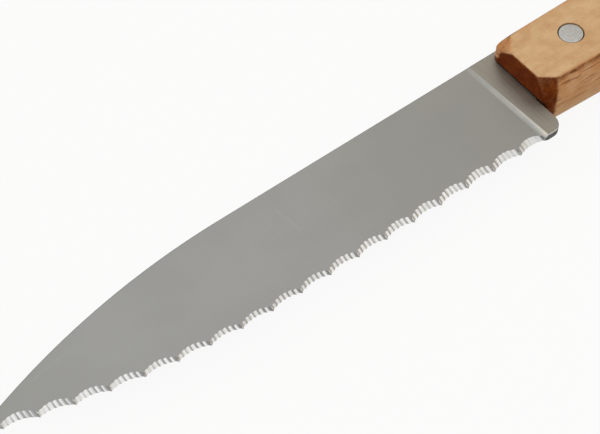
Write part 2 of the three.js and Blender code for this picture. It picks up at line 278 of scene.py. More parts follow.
class HandleSettings(bpy.types.PropertyGroup):
    """Sizes and colours of the handle."""

    length: metres("Length", "From the front to the butt", HANDLE_HIGH[0] - HANDLE_LOW[0] - BOX_ROOM)
    thickness: metres("Thickness", "Between the two flat faces", HANDLE_HIGH[2] - HANDLE_LOW[2])
    step: metres("Step", "From the blade's spine down to the handle's", 0.25 * MM)
    front_width: metres("Front width", "At the blade", 13.7 * MM)
    belly_at: metres("Belly place", "From the front to the widest part of the belly", 42 * MM)
    belly_width: metres("Belly width", "At the belly", 15.6 * MM)
    belly_arch: metres("Belly arch", "Rise of the spine side at the belly", 0.3 * MM)
    waist_at: metres("Waist place", "From the front to the narrow part behind the belly", 68 * MM)
    waist_width: metres("Waist width", "At the waist", 14.5 * MM)
    butt_width: metres("Butt width", "At the butt", 15.4 * MM)
    butt_fall: metres("Butt fall", "Of the spine side at the butt", 1.3 * MM)
    butt_round: metres("Butt rounding", "Length of the butt's round corners", 5 * MM)
    butt_roll: metres("Butt roll", "Length over which the butt thins to its end", 2.2 * MM)
    side_bulge: metres("Side bulge", "Of the two long sides between the flat faces", 1.45 * MM)
    edge_round: metres("Edge rounding", "Of the four long edges", 0.6 * MM)
    front_round: metres("Front rounding", "Of the edge round the front face", 0.3 * MM)
    corner_round: metres("Corner rounding", "Of the front corner at the spine, in the side view", 2.1 * MM)
    spine_facet: legs("Spine facet", "On each front corner at the spine", (3.5 * MM, 3.85 * MM, 4.2 * MM))
    crown: metres("Crown", "Rise of the spine facets' middle over a flat facet", 0.5 * MM)
    crown_depth: metres("Crown depth", "From the flat face down to the crown's end", 2.8 * MM)
    edge_facet: legs("Edge facet", "On each front corner at the edge", (3.9 * MM, 3.1 * MM, 20 * MM))
    facet_round: metres("Facet rounding", "Softness of the facets' rims", 0.22 * MM)
    clearance: metres("Clearance", "Round the tang in its slot", 0.19 * MM)
    pale_wood: colour("Pale wood", "Of the early growth", (0.9, 0.6, 0.335))
    warm_wood: colour("Warm wood", "Of the late growth", (0.72, 0.425, 0.2))
    # The long sides' wood comes in by a tone that also paints their light: it fades out towards the lower
    # edges, so the sides grow paler towards the floor
    side_wood: colour("Side wood", "Of the redder growth on the long sides", (0.74, 0.335, 0.134))
    grain: colour("Grain", "Of the open pores and fine streaks", (0.2, 0.065, 0.018))
    # Both end grain colours are darker than the wood's own end grain: they also paint the shade on the front
    # face and the edge facets
    shaded_end_wood: colour("End wood", "Of the dark end grain at the front", (0.145, 0.021, 0.001))
    shaded_end_patches: colour("End patches", "Of the lighter patches on the end grain", (0.22, 0.042, 0.002))


class RivetSettings(bpy.types.PropertyGroup):
    """Sizes and colours of the rivets."""

    diameter: metres("Diameter", "Of the shank", RIVET_HIGH[0] - RIVET_LOW[0])
    length: metres("Length", "From end to end", RIVET_HIGH[2] - RIVET_LOW[2])
    rim: metres("Rim", "Rounding of each end", 0.16 * MM)
    dome: metres("Dome", "Rise of each end's middle over its rim", 0.05 * MM)
    swell: metres("Swell", "Growth in radius of the pressed ends", 0.12 * MM)
    swell_length: metres("Swell length", "From each end to the plain shank", 1.2 * MM)
    clearance: metres("Clearance", "Round the shanks in their holes", 0.27 * MM)
    aluminium: colour("Aluminium", "Of the sanded ends", (0.82, 0.825, 0.815))


class StageSettings(bpy.types.PropertyGroup):
    """The camera, the lights and the floor."""

    azimuth: angle("Azimuth", "Turn of the camera about Z", -37.649)
    elevation: angle("Elevation", "Of the camera above the floor", 52.67)
    distance: metres("Distance", "From the camera to its target", 295.3 * MM)
    target: legs("Target", "Point in the middle of the picture", (-40.27 * MM, 2.14 * MM, 4.84 * MM))
    lens: number("Lens", "Focal length on a 36 mm wide sensor, in millimetres", 120.5)
    floor: colour("Floor", "Of the floor", (0.95, 0.95, 0.945))
    evenness: share("Evenness", "Share of even white in the floor that the camera sees", 0.9)
    warm: colour("Warm side", "Of the tent past the handle", (0.65, 0.59, 0.5))
    bright: share("Bright level", "Brightness of the tent overhead and behind the knife", 0.76)
    dim: share("Dim level", "Brightness of the tent on the camera's side", 0.3)


# Meshes


def grid_faces(stations, around, closed):
    """Four-sided faces that join each point of a grid to its neighbours, and the last column to the first
    where the grid is closed."""
    station = np.arange(stations - 1)[:, None]
    column = np.arange(around if closed else around - 1)[None, :]
    following = (column + 1) % around
    corners = (
        station * around + column,
        station * around + following,
        (station + 1) * around + following,
        (station + 1) * around + column,
    )
    return np.stack(np.broadcast_arrays(*corners), axis=-1).reshape(-1, 4)


def grid_patch(points, closed=False, finish=0):
    """The points, faces and finishes of a grid given as stations by columns by three coordinates."""
    stations, around, _ = points.shape
    faces = grid_faces(stations, around, closed)
    columns = len(faces) // (stations - 1)
    return points.reshape(-1, 3), faces, np.broadcast_to(finish, (stations - 1, columns)).ravel()


def mesh_piece(name, patches):
    """An object from patches whose rims meet: the points are moved into the frame of the solid model, equal
    points are merged and the faces turned outwards."""
    starts = np.cumsum([0] + [len(points) for points, _, _ in patches[:-1]])
    points = np.concatenate([points for points, _, _ in patches]) + ORIGIN
    faces = np.concatenate([faces + start for (_, faces, _), start in zip(patches, starts)])
    finishes = np.concatenate([finish for _, _, finish in patches])
    mesh = bpy.data.meshes.new(name)
    mesh.from_pydata(points.tolist(), [], faces.tolist())
    mesh.polygons.foreach_set("material_index", finishes.astype(np.int32))
    work = bmesh.new()
    work.from_mesh(mesh)
    bmesh.ops.remove_doubles(work, verts=work.verts, dist=WELD)
    bmesh.ops.dissolve_degenerate(work, edges=work.edges, dist=WELD)
    bmesh.ops.recalc_face_normals(work, faces=work.faces)
    work.to_mesh(mesh)
    work.free()
    piece = bpy.data.objects.new(name, mesh)
    bpy.context.scene.collection.objects.link(piece)
    return piece


def cut_away(piece, tools):
    """Takes the tools' volumes out of a piece, and the tools out of the scene. The piece's faces are split
    into flat triangles first, so that the cuts leave no slivers."""
    work = bmesh.new()
    work.from_mesh(piece.data)
    bmesh.ops.triangulate(work, faces=work.faces, quad_method="SHORT_EDGE")
    work.to_mesh(piece.data)
    work.free()
    for tool in tools:
        cut = piece.modifiers.new("cut", "BOOLEAN")
        cut.operation = "DIFFERENCE"
        cut.solver = "EXACT"
        cut.object = tool
    shaped = piece.evaluated_get(bpy.context.evaluated_depsgraph_get())
    old, piece.data = piece.data, bpy.data.meshes.new_from_object(shaped)
    piece.modifiers.clear()
    bpy.data.meshes.remove(old)
    piece.data.name = piece.name
    for tool in tools:
        bpy.data.meshes.remove(tool.data)


def read(items, name, width=1, kind=np.float32):
    """One value, or a row of them, of every item of a mesh."""
    values = np.empty(len(items) * width, kind)
    items.foreach_get(name, values)
    return values if width == 1 else values.reshape(-1, width)


def shade(piece, materials):
    """Gives a piece its materials, and smooth shading that breaks at sharp edges and between finishes."""
    mesh = piece.data
    for material in materials:
        mesh.materials.append(material)
    mesh.shade_smooth()
    mesh.set_sharp_from_angle(angle=SHARP_EDGE)
    corners = read(mesh.polygons, "loop_total", kind=np.int32)
    finish = np.repeat(read(mesh.polygons, "material_index", kind=np.int32), corners)
    edge = read(mesh.loops, "edge_index", kind=np.int32)
    lowest = np.full(len(mesh.edges), len(materials))
    highest = np.zeros(len(mesh.edges), int)
    np.minimum.at(lowest, edge, finish)
    np.maximum.at(highest, edge, finish)
    sharp = read(mesh.edges, "use_edge_sharp", kind=bool)
    mesh.edges.foreach_set("use_edge_sharp", sharp | (lowest != highest))


def knife_points(piece):
    """A piece's vertices in the knife's own frame."""
    return read(piece.data.vertices, "co", 3) - ORIGIN


def paint(piece, tones):
    """Keeps named tones, one number of each for every vertex of a piece, for its materials to read."""
    for name, values in tones.items():
        attribute = piece.data.attributes.new(name, "FLOAT", "POINT")
        attribute.data.foreach_set("value", np.asarray(values, np.float32))


def ramp(values, *stops):
    """Values carried along straight lines between stops, each of them a place and the level there."""
    return np.interp(values, *zip(*stops))


def fade(distance, full, soft):
    """1 up to the full distance, and from there a straight fall to 0 over the soft one."""
    return np.clip(1 + (full - distance) / soft, 0, 1)


def place(piece, node):
    """Lets a piece ride on the knife in place of a solid."""
    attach(piece, BODY)
    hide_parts(node)


def turned(x, radii, heights):
    """A profile of radii and heights carried round an axis along Z, which crosses the tang's axis at x."""
    turn = np.linspace(0, 2 * np.pi, ROUND_SIDES, endpoint=False)
    radii = np.array(radii)[:, None]
    around = (x + radii * np.cos(turn), TANG_AXIS + radii * np.sin(turn), np.array(heights)[:, None])
    return np.stack(np.broadcast_arrays(*around), axis=-1)


def rivet_places():
    """The distances of the rivets from the handle's front."""
    return [float(np.mean([corner[0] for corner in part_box(node)])) - ORIGIN[0] for node in RIVET_NODES]


def rivet_holes(rivet):
    """Rods with clearance, for cutting the rivet holes. Rings of no radius close their ends."""
    radius = rivet.diameter / 2 + rivet.clearance
    radii = [0, radius, radius, 0]
    heights = np.array([-1, -1, 1, 1]) * rivet.length
    rods = [turned(x, radii, heights) for x in rivet_places()]
    return [mesh_piece("rivet_hole", [grid_patch(points, closed=True)]) for points in rods]


def tang_loop(blade, margin):
    """Places along the tang and its half width there, grown by a margin: straight and tapered up to the round
    end, then a quarter circle that closes it."""
    end_half = blade.tang_end_width / 2
    end_x = blade.tang_length - end_half
    turn = np.linspace(0, np.pi / 2, TANG_STATIONS)
    x = np.concatenate([[-blade.shoulder_gap], end_x + (end_half + margin) * np.sin(turn)])
    half = np.concatenate([[blade.tang_width / 2 + margin], (end_half + margin) * np.cos(turn)])
    return x, half


# Blade


class BladeForm:
    """The blade's outlines and thickness as formulas of its settings."""

    def __init__(self, blade):
        self.blade = blade
        self.grind_slope = (blade.ground_spine - blade.ground_edge) / 2 / blade.width
        untapered = blade.ground_edge / 2 + self.grind_slope * blade.tip_height
        self.taper_slope = (untapered - blade.ground_tip / 2) / (blade.length - blade.plunge_edge)
        self.plunge_slope = (blade.plunge_spine - blade.plunge_edge) / blade.width
        self.tip = np.array([-blade.length, blade.tip_height])

        # The edge's arc leaves the straight edge without a corner and runs through the tip
        run = blade.length - blade.edge_straight
        self.edge_radius = (run ** 2 + blade.tip_height ** 2) / (2 * blade.tip_height)
        edge_turn = 2 * math.atan2(blade.tip_height, run)
        self.edge_length = blade.edge_straight + self.edge_radius * edge_turn

        # The spine's arc leaves the straight spine in the same way and runs through the tip
        self.spine_end = np.array([self.shoulder(blade.width), blade.width])
        self.spine_start = np.array([
            -blade.spine_straight, blade.width - blade.spine_straight * math.tan(blade.spine_fall)])
        self.spine_way = np.array([-math.cos(blade.spine_fall), -math.sin(blade.spine_fall)])
        self.spine_down = np.array([math.sin(blade.spine_fall), -math.cos(blade.spine_fall)])
        chord = self.tip - self.spine_start
        self.spine_radius = chord @ chord / (2 * chord @ self.spine_down)
        spine_turn = 2 * math.atan2(chord @ self.spine_down, chord @ self.spine_way)
        self.spine_arc = self.spine_radius * spine_turn

    def shoulder(self, y):
        """The shoulder's place at a height: at the handle's front below the tang, in its slot above the tang,
        and in between on the line from the one to the other."""
        half = self.blade.tang_width / 2
        places = [-self.blade.shoulder_gap, self.blade.shoulder_sink]
        return np.interp(y, [TANG_AXIS - half, TANG_AXIS + half], places)

    def edge_point(self, distance):
        """The cutting line at distances from the handle's front: straight, then a circle's arc to the tip."""
        turn = np.maximum(0, distance - self.blade.edge_straight) / self.edge_radius
        x = -np.minimum(distance, self.blade.edge_straight) - self.edge_radius * np.sin(turn)
        return np.stack([x, self.edge_radius * (1 - np.cos(turn))], axis=-1)

    def spine_point(self, distance):
        """The spine at distances from the start of its curve, less than zero on the straight part: a line,
        then a circle's arc down to the tip."""
        straight = (self.spine_start - self.spine_end) / np.linalg.norm(self.spine_start - self.spine_end)
        turn = np.maximum(0, distance) / self.spine_radius
        return (
            self.spine_start
            + np.minimum(0, distance)[:, None] * straight
            + self.spine_radius * np.sin(turn)[:, None] * self.spine_way
            + self.spine_radius * (1 - np.cos(turn))[:, None] * self.spine_down)

    def past_plunge(self, x, y):
        """The distance past the line where the grind ends, towards the handle."""
        return x + self.blade.plunge_edge + self.plunge_slope * y

    def half_thickness(self, x, y):
        """The distance of the faces from the middle plane: half the sheet, or less where the grind cut it
        away. The grind leans from spine to edge and from heel to tip, and past the plunge line it rises to
        the sheet as a power of the distance."""
        blade = self.blade
        sheet = blade.thickness / 2
        past = self.past_plunge(x, y)
        ground = blade.ground_edge / 2 + self.grind_slope * y + self.taper_slope * past
        return ground + (sheet - ground) * np.clip(past / blade.plunge_width, 0, 1) ** PLUNGE_POWER

    def serrated_stations(self):
        """Points of the serrated edge, the spine points across from them and the bevel's height there. Each
        scallop is a circle's arc over its chord, and its flutes add the size of a sine wave to that. The
        bevel's height swings about its mean as a cosine of a power of the way from heel to tip, falls off to
        the heel as an exponential, and in each scallop follows a parabola that tilts more where the edge
        turns up."""
        blade = self.blade
        places = np.arange(blade.heel_land + blade.heel_scallop, self.edge_length, blade.pitch)
        cusp_places = np.concatenate([[blade.heel_land], places, [self.edge_length]])
        cusps = self.edge_point(cusp_places)
        steps = np.diff(cusps, axis=0)
        chords = np.linalg.norm(steps, axis=1)
        normals = np.stack([steps[:, 1], -steps[:, 0]], axis=-1) / chords[:, None]
        flutes = np.maximum(1, np.round(blade.flutes * chords / blade.pitch)).astype(int)
        rank = np.arange(1, len(chords) + 1)
        last = rank[-1]
        depths = blade.flute_depth * ramp(
            rank, (0, 0), (blade.flute_fade, 1), (last / 2, 1), (last, blade.flute_tip))

        counts = flutes * FLUTE_SAMPLES
        scallop = np.repeat(np.arange(len(chords)), counts)
        part = (np.arange(counts.sum()) - np.repeat(np.cumsum(counts) - counts, counts)) / counts[scallop]
        along = (part - 0.5) * chords[scallop]
        sag = np.sqrt(blade.scallop_radius ** 2 - chords[scallop] ** 2 / 4)
        arc = np.sqrt(blade.scallop_radius ** 2 - along ** 2) - sag
        flute = depths[scallop] * np.abs(np.sin(np.pi * flutes[scallop] * part))
        base = cusps[scallop] + part[:, None] * steps[scallop] + (arc + flute)[:, None] * normals[scallop]
        base = np.concatenate([base, self.tip[None, :]])

        distance = np.append(cusp_places[scallop] + part * np.diff(cusp_places)[scallop], self.edge_length)
        spine_x = -blade.heel_land - self.plunge_slope * blade.width
        spine_first = self.spine_start[0] - spine_x
        run = distance - blade.heel_land
        spread = run / (self.edge_length - blade.heel_land)
        spine = self.spine_point(spine_first + (self.spine_arc - spine_first) * spread)
        height = blade.bevel_height + blade.bevel_swing * np.cos(2 * np.pi * spread ** blade.bevel_skew)
        height = height * (1 - blade.bevel_heel * np.exp(-run / blade.bevel_runout))
        off_middle = np.append(2 * part - 1, 0)
        upturn = np.maximum(0, distance - blade.edge_straight) / self.edge_radius
        arch = blade.bevel_arch * (ARCH_MIDDLE - off_middle ** 2)
        tilt = (blade.bevel_tilt + upturn * TILT_GAIN) * off_middle
        return base, spine, height * (1 + arch - tilt)

    def plain_stations(self):
        """Stations of the plain stretch from the first scallop to the shoulder: x and y of their low points,
        and a share that grows from 0 at the plunge, where rows have its slant, to 1 at the shoulder."""
        blade = self.blade
        heel_x = -blade.shoulder_gap - blade.heel_radius
        turn = np.linspace(0, np.pi / 2, HEEL_STATIONS)
        first = max(0, blade.plunge_edge - blade.heel_land)
        hollow = np.linspace(first, blade.plunge_width, PLUNGE_STATIONS) - blade.plunge_edge
        plunge = np.unique(np.append(-blade.heel_land, hollow))
        flat = np.linspace(plunge[-1], heel_x, RICASSO_STATIONS + 1, endpoint=False)[1:]
        x = np.concatenate([plunge, flat, heel_x + blade.heel_radius * np.sin(turn)])
        y = np.concatenate([np.zeros(len(plunge) + len(flat)), blade.heel_radius * (1 - np.cos(turn))])
        bend = np.clip((x - plunge[-1]) / (-blade.shoulder_gap - plunge[-1]), 0, 1)
        return x, y, bend

    def serrated_loops(self):
        """Closed loops from the tip to the first scallop, as stations by columns by three coordinates. Each
        loop runs up the bevel, up the upper face, over the spine and down the lower face. The bevel's rows
        lean with the flutes, and turn to run across the blade where it is hardly wider than the bevel."""
        blade = self.blade
        base, spine, full = (values[::-1] for values in self.serrated_stations())
        full = full[:, None]
        across = spine - base
        width = np.linalg.norm(across, axis=1)[:, None]
        across = across / np.maximum(width, WELD)
        crosswise = np.clip(2 - width / full, 0, 1)
        flute_way = np.array([-math.sin(blade.flute_lean), math.cos(blade.flute_lean)])
        way = flute_way * (1 - crosswise) + across * crosswise
        way /= np.linalg.norm(way, axis=1)[:, None]
        height = np.minimum(full, width)
        top = base + way * height
        lift = (height / full)[:, 0]

        # The spine's rounding takes at most a quarter of the face
        round_off = np.clip((width - height) / 4, 0, blade.spine_round)
        spine_in = spine - across * round_off
        rows = np.linspace(0, 1, FACE_ROWS)[None, :, None]
        face = top[:, None, :] * (1 - rows) + spine_in[:, None, :] * rows
        bevel = np.linspace(0, 1, BEVEL_ROWS)
        bevel_plan = base[:, None, :] + (way * height)[:, None, :] * bevel[None, :, None]
        rise = np.broadcast_to(bevel, (len(base), BEVEL_ROWS))
        return self.loop_points(bevel_plan, rise, face, across, round_off, lift)

    def plain_loops(self):
        """Closed loops from the first scallop to the shoulder, with the same columns as the serrated ones. In
        the bevel's place they have an upright face, a fine chamfer and a plain strip. The face's rows pass
        over from even ones to rows that end at the tang's two borders."""
        blade = self.blade
        x, y, bend = self.plain_stations()

        # The spine's height depends on its place and the other way round: three rounds settle both
        spine_y = np.full(len(x), blade.width)
        fall = (self.spine_end[1] - self.spine_start[1]) / (self.spine_end[0] - self.spine_start[0])
        for _ in range(3):
            spine_x = self.lean(x, y, spine_y, bend)
            spine_y = blade.width + (spine_x - self.spine_end[0]) * fall

        strip = blade.bevel_height + blade.bevel_swing
        top_y = y + strip
        spine_in_y = spine_y - blade.spine_round
        tang_half = blade.tang_width / 2
        tang_rows = ramp(
            np.arange(FACE_ROWS), (0, top_y[-1]), (TANG_FIRST_ROW, TANG_AXIS - tang_half),
            (TANG_LAST_ROW, TANG_AXIS + tang_half), (FACE_ROWS - 1, spine_in_y[-1]))
        even = np.linspace(0, 1, FACE_ROWS)
        fitted = (tang_rows - tang_rows[0]) / (tang_rows[-1] - tang_rows[0])
        part = even + (fitted - even) * bend[:, None]
        face_y = top_y[:, None] + (spine_in_y - top_y)[:, None] * part
        bevel_y = y[:, None] + np.array([0, 0, blade.heel_chamfer, strip])
        face, bevel_plan = (
            np.stack([self.lean(x[:, None], y[:, None], rows, bend[:, None]), rows], axis=-1)
            for rows in (face_y, bevel_y))
        upright = np.array([0, 1 - CHAMFER_FALL * blade.heel_chamfer / blade.thickness, 1, 1])
        rise = np.broadcast_to(upright, (len(x), BEVEL_ROWS))
        up = np.broadcast_to([0.0, 1.0], (len(x), 2))
        round_off = np.full((len(x), 1), blade.spine_round)
        return self.loop_points(bevel_plan, rise, face, up, round_off, np.ones(len(x)))

    def blade_patches(self):
        """The blade's surface: the loops from the tip to the shoulder, the faces at the shoulder and the
        tang. The bevel's columns and the heel's chamfer have the edge's finish, and the spine and the upright
        face under the chamfer that of the blanked sheet."""
        serrated = self.serrated_loops()
        loops = np.concatenate([serrated, self.plain_loops()])
        finish = np.full((len(loops) - 1, loops.shape[1]), FACE)
        spine = BEVEL_ROWS - 1 + FACE_ROWS
        finish[:, spine - 1:spine + 2 * SPINE_ROWS] = BLANKED
        finish[:len(serrated), :BEVEL_ROWS - 1] = EDGE
        finish[len(serrated):, 0] = BLANKED
        finish[len(serrated):, 1] = EDGE
        outside = grid_patch(loops, closed=True, finish=finish)
        return [outside, self.shoulder_patch(loops[-1]), self.tang_patch()]

    def lean(self, x, low_y, y, bend):
        """The place of a plain station's rows: parallel to the plunge near it, and to the shoulder near
        that."""
        blade = self.blade
        slanted = x - self.plunge_slope * (y - low_y)
        return slanted * (1 - bend) + (x + self.shoulder(y) + blade.shoulder_gap) * bend

    def loop_points(self, bevel_plan, bevel_rise, face, across, round_off, lift):
        """One closed loop per station from its plan points: bevel, face, rounded spine and lower face. A rise
        of 0 is the lower face and 1 the upper one, which comes down to the lower one at the tip by the
        lift."""
        turn = np.linspace(0, np.pi / 2, SPINE_ROWS + 1)[None, :, None]
        inner = face[:, -1:, :]
        out = across[:, None, :] * round_off[:, None, :]
        upper_round = inner + out * np.sin(turn[:, 1:])
        lower_round = inner + out * np.cos(turn[:, :-1])
        lower = np.concatenate([bevel_plan[:, 2:-1], face], axis=1)[:, ::-1]
        plan = np.concatenate([bevel_plan[:, :-1], face, upper_round, lower_round, lower], axis=1)

        half = self.half_thickness(plan[..., 0], plan[..., 1])
        rise = np.concatenate([
            bevel_rise[:, :-1] * lift[:, None],
            np.repeat(lift[:, None], FACE_ROWS + SPINE_ROWS, axis=1),
            np.zeros((len(plan), SPINE_ROWS + lower.shape[1]))], axis=1)
        drop = np.zeros(rise.shape)
        first = BEVEL_ROWS - 1 + FACE_ROWS
        drop[:, first:first + SPINE_ROWS] = -round_off * (1 - np.cos(turn[0, 1:, 0]))
        drop[:, first + SPINE_ROWS:first + 2 * SPINE_ROWS] = round_off * (1 - np.sin(turn[0, :-1, 0]))
        z = half * (2 * rise - 1) + drop
        return np.concatenate([plan, z[..., None]], axis=-1)

    def shoulder_patch(self, loop):
        """The end faces at the shoulder: strips between the loop's upper and lower points, above and below
        the tang."""
        first = BEVEL_ROWS - 1
        upper = np.arange(1, first + FACE_ROWS + SPINE_ROWS)
        lower = np.append(0, np.arange(len(loop) - 1, first + FACE_ROWS + SPINE_ROWS - 1, -1))
        row = np.arange(len(upper) - 1)
        beside_tang = (upper[row] < first + TANG_FIRST_ROW) | (upper[row] >= first + TANG_LAST_ROW)
        row = row[beside_tang]
        faces = np.stack([lower[row], lower[row + 1], upper[row + 1], upper[row]], axis=-1)
        return loop, faces, np.full(len(faces), BLANKED)

    def tang_patch(self):
        """The tang: its outline's two sides at each place, with rows between them on both faces."""
        x, half = tang_loop(self.blade, 0)
        rows = np.linspace(-1, 1, TANG_LAST_ROW - TANG_FIRST_ROW + 1)
        y = TANG_AXIS + half[:, None] * np.concatenate([rows, rows[::-1]])
        level = np.repeat([1, -1], len(rows)) * self.blade.thickness / 2
        points = np.stack(np.broadcast_arrays(x[:, None], y, level), axis=-1)
        points[0, :, 0] = self.shoulder(y[0])
        return grid_patch(points, closed=True)

    def tones(self, points):
        """Shares for the steel's finishes at points. The tip-and-heel share is high at the tip and the heel
        and low between them. It darkens and warms the steel there, and the darkening is painted shade where
        the broad highlight on the middle falls off. Unground is 1 on the sheet past the plunge, and plunge in
        the hollow before it, where it is weaker near the spine; it brightens the hollow as a painted
        highlight. Polish grows along the edge from the heel on."""
        blade = self.blade
        x, y, _ = points.T
        past = self.past_plunge(x, y) / blade.plunge_width
        hollow = ramp(past, (0, 0), (0.35, 1), (0.97, 1), (1, 0))
        return {
            # Painted shade: the steel darkens and warms towards the tip and the heel
            "tip_heel_shade_and_warmth": ramp(-x, (4 * MM, 0.6), (14 * MM, 0.45), (40 * MM, 0), (78 * MM, 0.1), (98 * MM, 1)),
            "unground": past > 1 - ROUNDING,
            # Painted highlight in the plunge's hollow, weaker near the spine
            "plunge": hollow * ramp(blade.width - y, (0, 0.2), (5 * MM, 1)),
            "polish": ramp(-x, (blade.heel_land, 0.3), (20 * MM, 1))}


class KNIFE_OT_blade(bpy.types.Operator):
    """Build the ground blade with its scalloped and fluted edge and its hidden tang"""

    bl_idname = "knife.blade"
    bl_label = "Blade"

    def execute(self, context):
        scene = context.scene
        blade = scene.knife_blade
        form = BladeForm(blade)
        piece = mesh_piece("knife_blade", form.blade_patches())
        cut_away(piece, rivet_holes(scene.knife_rivet))
        paint(piece, form.tones(knife_points(piece)))
        shade(piece, [satin_steel(blade), edge_steel(blade), blanked_shaded_steel(blade)])
        place(piece, "blade")
        return {"FINISHED"}


# Handle


def catmull_rom(points):
    """A smooth curve through points: between two of them a cubic whose slope at each is half the step from
    the point before to the point after."""
    points = np.array(points)
    padded = np.concatenate([points[:1], points, points[-1:]])
    place_on = np.linspace(0, len(points) - 1, OUTLINE_POINTS)
    index = np.minimum(place_on.astype(int), len(points) - 2)
    t = (place_on - index)[:, None]
    before, start, end, after = (padded[index + step] for step in range(4))
    slope_in = (end - before) / 2
    slope_out = (after - start) / 2
    return (
        (2 * start - 2 * end + slope_in + slope_out) * t ** 3
        + (3 * end - 3 * start - 2 * slope_in - slope_out) * t ** 2
        + slope_in * t
        + start)


def mirrored_loop(quarter, signs):
    """A loop's first quarter, carried on back and forth into a closed loop with a sign for each quarter."""
    runs = (quarter, quarter[-2::-1], quarter[1:], quarter[-2:0:-1])
    return np.concatenate([sign * run for sign, run in zip(signs, runs)])


class HandleForm:
    """The handle's outline and sections as formulas of its settings."""

    def __init__(self, handle, blade):
        self.handle = handle
        self.spine = blade.width - handle.step
        self.butt_x = handle.length - handle.butt_round
        self.slot_half = blade.thickness / 2 + handle.clearance
        half, small = handle.thickness / 2, handle.edge_round
        self.side_radius = (half ** 2 + handle.side_bulge ** 2) / (2 * handle.side_bulge)
        to_edge = math.sqrt((self.side_radius - small) ** 2 - (half - small) ** 2)
        self.side_depth = self.side_radius - to_edge
        butt_spine = self.spine - handle.butt_fall
        belly_spine = self.spine + handle.belly_arch
        self.low_curve = catmull_rom([
            (0, self.spine - handle.front_width),
            (handle.belly_at, belly_spine - handle.belly_width),
            (handle.waist_at, self.spine - handle.waist_width),
            (self.butt_x, butt_spine - handle.butt_width)])
        self.high_curve = catmull_rom([
            (0, self.spine),
            (handle.belly_at, belly_spine),
            (handle.waist_at, self.spine),
            (self.butt_x, butt_spine)])

    def fall_in(self, z):
        """How far a long side falls in from its outline at a height: the drop of a circle's arc."""
        radius = self.side_radius
        return radius - np.sqrt(radius ** 2 - z ** 2)

    def section_loop(self):
        """A section's closed loop, as shares of the flat face's half width, of the side's depth and of the
        half thickness. The side is a circle's arc, and a smaller arc rounds it off into the flat face."""
        half, small = self.handle.thickness / 2, self.handle.edge_round
        centre = self.side_radius - self.side_depth
        meeting = math.atan2(half - small, centre)
        turn = np.linspace(np.pi / 2, meeting, EDGE_ROWS)
        side = np.linspace(meeting, 0, SIDE_ROWS)[1:]
        out = np.append(small * np.cos(turn), self.side_radius * np.cos(side) - centre) / self.side_depth
        rise = np.append(half - small + small * np.sin(turn), self.side_radius * np.sin(side)) / half
        flat = np.append(np.linspace(0, 1, FLAT_ROWS)[:-1], np.ones(len(out)))
        out = np.append(np.zeros(FLAT_ROWS - 1), out)
        rise = np.append(np.ones(FLAT_ROWS - 1), rise)
        return mirrored_loop(flat, Y_SIGNS), mirrored_loop(out, Y_SIGNS), mirrored_loop(rise, Z_SIGNS)

    def sections(self, x, inset, lift, thickness):
        """Section loops at places along the handle, drawn in by an inset and by the lift of the butt's
        corners, with the half thickness there."""
        low = np.interp(x, *self.low_curve.T) + lift + inset
        high = np.interp(x, *self.high_curve.T) - lift - inset
        flat, bulging, height = self.section_loop()
        middle, half = ((low + high) / 2)[:, None], ((high - low) / 2)[:, None]
        depth = np.minimum(self.side_depth, half)
        y = middle + flat * (half - depth) + bulging * depth
        z = height * (thickness - inset)[:, None]
        return np.stack(np.broadcast_arrays(x[:, None], y, z), axis=-1)

    def body_points(self):
        """The whole handle before its facets: rings that grow on the front face, a rounded rim, sections
        along the handle, and the butt, whose corners are parabolas and whose thickness falls off as an
        ellipse."""
        handle = self.handle
        turn = np.linspace(0, np.pi / 2, RIM_STATIONS)[:-1]
        rim_x = handle.front_round * (1 - np.cos(turn))
        rim_inset = handle.front_round * (1 - np.sin(turn))
        front_x = np.linspace(handle.front_round, FRONT_LENGTH, FRONT_STATIONS)
        body_x = np.linspace(front_x[-1], self.butt_x, BODY_STATIONS)[1:]
        t = np.linspace(0, 1, BUTT_STATIONS)[1:] ** BUTT_CROWDING
        butt_x = handle.length - handle.butt_round * (1 - t) ** 2
        x = np.concatenate([rim_x, front_x, body_x, butt_x])
        inset = np.concatenate([rim_inset, np.zeros(len(x) - len(rim_inset))])
        lift = np.concatenate([np.zeros(len(x) - len(t)), handle.butt_round * t ** 2])
        past = BUTT_END * np.clip((x - (handle.length - handle.butt_roll)) / handle.butt_roll, 0, 1)
        body = self.sections(x, inset, lift, handle.thickness / 2 * np.sqrt(1 - past ** 2))
        growth = np.linspace(0, 1, FRONT_RINGS)[:-1, None, None]
        front_middle = body[0].mean(axis=0)
        front = front_middle + (body[:1] - front_middle) * growth
        shrink = np.linspace(1, 0, BUTT_RINGS)[1:, None, None]
        butt_middle = body[-1].mean(axis=0)
        butt = butt_middle + (body[-1:] - butt_middle) * shrink
        return np.concatenate([front, body, butt])

    def round_corner(self, points):
        """Moves points beyond the round front corner at the spine onto it, straight towards its axis."""
        radius = self.handle.corner_round
        axis_y = self.spine - radius
        x, y = points[..., 0] - radius, points[..., 1] - axis_y
        reach = np.hypot(x, y)
        kept = np.where((x < 0) & (y > 0) & (reach > radius), radius / np.maximum(reach, WELD), 1)
        return np.stack([radius + x * kept, axis_y + y * kept, points[..., 2]], axis=-1)

    def facets(self):
        """The facets of the two front corners: the corner's y, the direction of its side, the legs along the
        handle's edges, how far the facet follows the side's bulge, and its crown."""
        handle = self.handle
        return (
            (self.spine, 1, handle.spine_facet, 0, handle.crown),
            (self.spine - handle.front_width, -1, handle.edge_facet, 1, 0))

